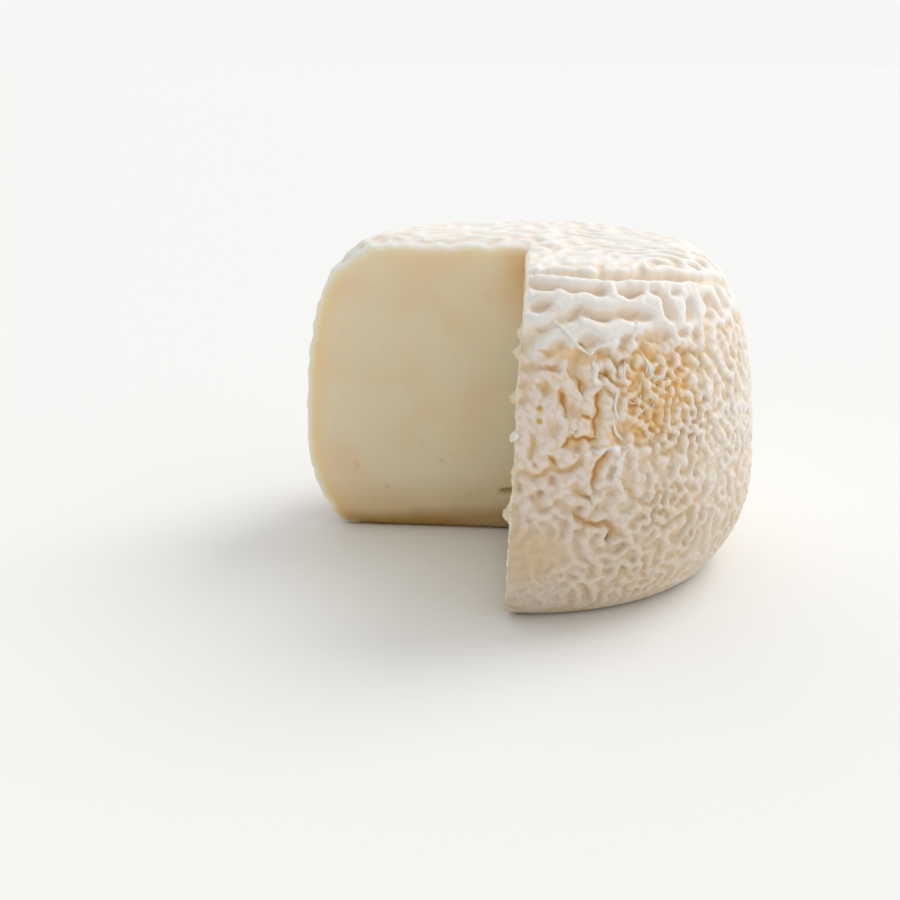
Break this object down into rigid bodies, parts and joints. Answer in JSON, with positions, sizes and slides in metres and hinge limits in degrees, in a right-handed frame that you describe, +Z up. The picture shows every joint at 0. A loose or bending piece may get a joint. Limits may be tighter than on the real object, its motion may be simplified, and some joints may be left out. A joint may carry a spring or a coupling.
{
  "type": "cut cheese wheel",
  "caption": "Small round wheel of fresh goat's cheese with a wrinkled white rind and a hand-cut quarter missing, standing on its flat base.",
  "frame": {"origin": "middle of the flat base, on the axis that the wheel is turned about", "axes": "+Z up along the wheel's axis; the missing quarter opens towards -X and -Y"},
  "size_m": [0.0593, 0.0596, 0.0407],
  "materials": {
    "cheese": "pale cream cheese: a dry, wrinkled, off-white rind with beige valleys, and smooth, slightly moist paste on the two cuts"
  },
  "bodies": {
    "root": {"cheese_wheel": "cheese"}
  },
  "joints": []
}
